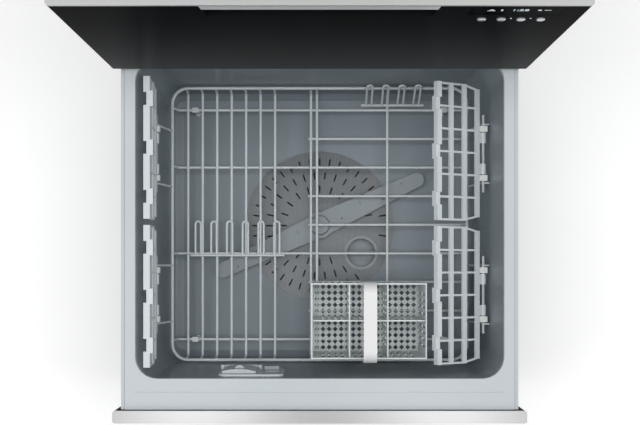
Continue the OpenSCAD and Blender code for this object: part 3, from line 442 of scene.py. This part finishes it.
def lit_bar(width, place):
    """A lit bar with clipped corners, seen along Y."""
    bpy.ops.object.select_all(action="DESELECT")
    bpy.ops.mesh.primitive_cube_add(size=1, location=place)
    bpy.context.object.scale = (width, mark_depth, bar_h)
    bpy.ops.object.transform_apply(location=False, rotation=False, scale=True)
    start_edit()
    bpy.ops.mesh.select_all(action="SELECT")
    bpy.ops.mesh.bevel(offset=mark_depth * 0.3, segments=1)
    end_edit()
    return bpy.context.object


for level in ("lower", "upper"):
    low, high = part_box(f"{level}_display")
    face_y = low.y - mark_depth * 0.3
    centre_x = (low.x + high.x) / 2
    row_z = high.z - row_below_top
    marks = [numerals("1:28", numeral_h, (centre_x + 0.004, face_y, row_z))]
    for width, x, z in ((0.003, -0.028, 0.0028), (0.006, -0.028, 0), (0.009, -0.028, -0.0028)):
        marks.append(lit_bar(width, (centre_x + x, face_y, row_z + z)))
    for radius, x, z in ((0.0013, -0.0165, 0.002), (0.0013, -0.0165, -0.002), (0.0022, 0.0255, 0)):
        marks.append(lit_dot(radius, (centre_x + x, face_y, row_z + z)))
    marks.append(lit_bar(0.0075, (centre_x + 0.0345, face_y, row_z)))
    join(marks)
    name_piece(f"{level}_display_marks", lit, f"{level}_drawer")
    lamp_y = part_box(f"{level}_front")[0].y - lamp_proud
    lamps = []
    for i in (2, 3):
        left_low, left_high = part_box(f"{level}_button_{i}")
        right_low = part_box(f"{level}_button_{i + 1}")[0]
        lamp_x = (left_high.x + right_low.x) / 2
        lamps.append(lit_dot(lamp_r, (lamp_x, lamp_y, (left_low.z + left_high.z) / 2)))
    join(lamps)
    name_piece(f"{level}_button_lamps", lit, f"{level}_drawer")

# ---------------------------------------------------------------------------------------------
# Tubs: one-piece moulded grey polypropylene with a stepped rim. The rim's wide front flange
# carries the front panel, and the walls have a semi-matt, finely grained face.

rim_depth = 0.0072
step_inner = 0.2833
step_outer = 0.2846


def tub_finish(level):
    """Grey polypropylene: grained on the rim, and polished inside, where painted shade makes it a
    shade darker.
    """
    made, sockets, place = new_finish(f"{level}_tub_grey", Specular_IOR_Level=0.45)
    rim = along(place, 2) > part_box(f"{level}_tub")[1].z - rim_depth
    flow = mottle(place, 0.16, detail=3.0)
    # Painted shade: the inside is darker than the rim, though it is the same plastic.
    inside = between(paint(122, 132, 139), paint(137, 147, 153), flow)
    outside = between(paint(190, 197, 201), paint(203, 209, 212), flow)
    # Painted shadow: a thin dark line on the rim's lower strip beside each side step.
    across = place.maths("ABSOLUTE", along(place, 0), 0.0)
    painted_step_shadow = (across > step_inner) * (step_outer - across > 0)
    rim_with_step_shadow = between(outside, paint(150, 157, 161), painted_step_shadow * 0.8)
    drive(sockets["Base Color"], between(inside, rim_with_step_shadow, rim))
    drive(sockets["Roughness"], rim * 0.14 + mottle(place, 0.004) * 0.12 + 0.26)
    drive(sockets["Normal"], relief(mottle(place, 0.0009), 0.00005))
    return made


dress(tub_finish("lower"), "lower_tub")
dress(tub_finish("upper"), "upper_tub")
dispenser_grey = moulded("dispenser_grey", paint(190, 198, 203), paint(203, 210, 214), 0.38)
dress(dispenser_grey, "dispenser_body", "upper_dispenser")
door_grey = moulded("door_grey", paint(176, 184, 188), paint(188, 195, 198), 0.34)
dress(door_grey, "dispenser_door", "upper_dispenser_door")

# ---------------------------------------------------------------------------------------------
# Wash parts: painted motor under the sump, perforated stainless filter plate, grey drain filter
# and a two-armed grey spray arm on its spindle.

motor_paint, sockets, place = new_finish("motor_paint", 0.3)
drive(sockets["Base Color"], between(paint(62, 66, 70), paint(84, 88, 92), mottle(place, 0.03)))
drive(sockets["Roughness"], mottle(place, 0.002) * 0.2 + 0.4)
drive(sockets["Normal"], relief(mottle(place, 0.001), 0.00012))
dress(motor_paint, "lower_wash_motor", "upper_wash_motor")

filter_steel, sockets, place = new_finish("filter_steel", 1.0)
rings = mottle(place, 0.0008, stretch=(1, 0.02, 1), detail=3.0)
drive(sockets["Base Color"], between(paint(104, 109, 112), paint(150, 153, 155), rings))
drive(sockets["Roughness"], rings * 0.2 + 0.24)
drive(sockets["Normal"], relief(rings, 0.00004))
dress(filter_steel, "lower_filter_plate", "upper_filter_plate")

wash_grey = moulded("wash_grey", paint(134, 142, 147), paint(150, 157, 162), 0.42)
dress(wash_grey, "lower_spray_arm", "upper_spray_arm", "lower_drain_filter", "rinse_cap")

# ---------------------------------------------------------------------------------------------
# Racks: welded steel wire dipped in pale grey nylon, which thickens a little at the welds and
# runs slightly uneven along the wires.

nylon, sockets, place = new_finish("nylon_coated_wire", Coat_Weight=0.2, Coat_Roughness=0.2)
dipped = mottle(place, 0.02, detail=3.0)
drive(sockets["Base Color"], between(paint(196, 204, 206), paint(214, 220, 221), dipped))
drive(sockets["Roughness"], mottle(place, 0.005) * 0.14 + 0.26)
drive(sockets["Normal"], relief(mottle(place, 0.004), 0.00015, 0.3))
dress(
    nylon,
    "base_rack_frame", "base_rack_grid", "upper_rack_frame", "upper_rack_grid",
    "tine_row_left", "tine_row_right",
)

rack_plastic = moulded("rack_plastic", paint(214, 221, 225), paint(226, 232, 235), 0.38)
dress(
    rack_plastic,
    "cup_rack_left_rear", "cup_rack_left_front", "cup_rack_right_rear", "cup_rack_right_front",
    "upper_cup_racks_left", "upper_cup_racks_right",
)
dress(white_plastic, "cup_rack_clips", "basket_handle")
basket_plastic = moulded("basket_plastic", paint(220, 226, 226), paint(232, 237, 237), 0.42)
dress(basket_plastic, "cutlery_basket")

# ---------------------------------------------------------------------------------------------
# Photographer's floor, lamps and camera. The camera looks straight down over the open drawer.
# The floor shines a little towards its edges, where the lamps no longer reach it.


def seen_directly(place):
    """1 for rays from the camera, from metal and through glass, and 0 for light that spreads."""
    return (
        place.node("LightPath", output="Is Camera Ray")
        + place.node("LightPath", output="Is Glossy Ray")
        + place.node("LightPath", output="Is Transmission Ray")
    )


bpy.ops.object.select_all(action="DESELECT")
bpy.ops.mesh.primitive_plane_add(size=60, location=(0, -0.3, -0.0002))
floor = bpy.context.object
floor.name = "studio_floor"
start_edit()
bpy.ops.mesh.select_all(action="SELECT")
bpy.ops.mesh.subdivide(number_cuts=6)
bpy.ops.object.mode_set(mode="OBJECT")
floor_paint, sockets, place = new_finish("floor_paint", Roughness=0.9, Emission_Strength=0.62)
black, white = (0, 0, 0, 1), (1, 1, 1, 1)
drive(sockets["Base Color"], between(paint(236, 236, 236), white, seen_directly(place)))
reach = place.node("VectorMath", {"operation": "LENGTH"}, {0: place}, output="Value")
unlit = 1 - reach.maths("POWER", reach * reach * 0.09 + 1, -2.0)
glow = (unlit * 0.7 + 0.3) * seen_directly(place)
drive(sockets["Emission Color"], between(black, white, glow))
floor.data.materials.append(floor_paint)
floor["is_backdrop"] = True

world = bpy.data.worlds.new("studio")
bpy.context.scene.world = world
world.use_nodes = True
background = world.node_tree.nodes["Background"]
background.inputs["Color"].default_value = white
ground = Value(world.node_tree.nodes.new("ShaderNodeTexCoord").outputs["Generated"])
drive(background.inputs["Strength"], seen_directly(ground) * 0.82 + 0.18)


def soft_lamp(name, place, aim, size, watts):
    """A soft box at place that points at aim, and that metal doesn't mirror."""
    lamp = bpy.data.lights.new(name, "AREA")
    lamp.shape = "RECTANGLE"
    lamp.size, lamp.size_y = size
    lamp.energy = watts
    holder = bpy.data.objects.new(name, lamp)
    holder.location = place
    holder.rotation_euler = (Vector(aim) - Vector(place)).to_track_quat("-Z", "Y").to_euler()
    holder.visible_glossy = False
    bpy.context.collection.objects.link(holder)


soft_lamp("overhead_box", (0, -0.45, 3.6), (0, -0.45, 0), (3.2, 1.2), 77)
soft_lamp("left_box", (-2.7, -1.4, 2.2), (0, -0.4, 0.4), (1.4, 1.4), 20)
soft_lamp("right_box", (2.7, -0.9, 2.4), (0, -0.4, 0.4), (1.4, 1.4), 18)

camera = bpy.data.cameras.new("camera")
camera.sensor_width = 36.0
camera.lens = 61.03
camera.shift_x = 0.0005
camera.shift_y = 0.083
camera.clip_start, camera.clip_end = 0.05, 50
viewer = bpy.data.objects.new("camera", camera)
viewer.location = (0, -0.5691, 2.042)
bpy.context.collection.objects.link(viewer)
bpy.context.scene.camera = viewer
bpy.context.scene.view_settings.view_transform = "Standard"

low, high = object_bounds()
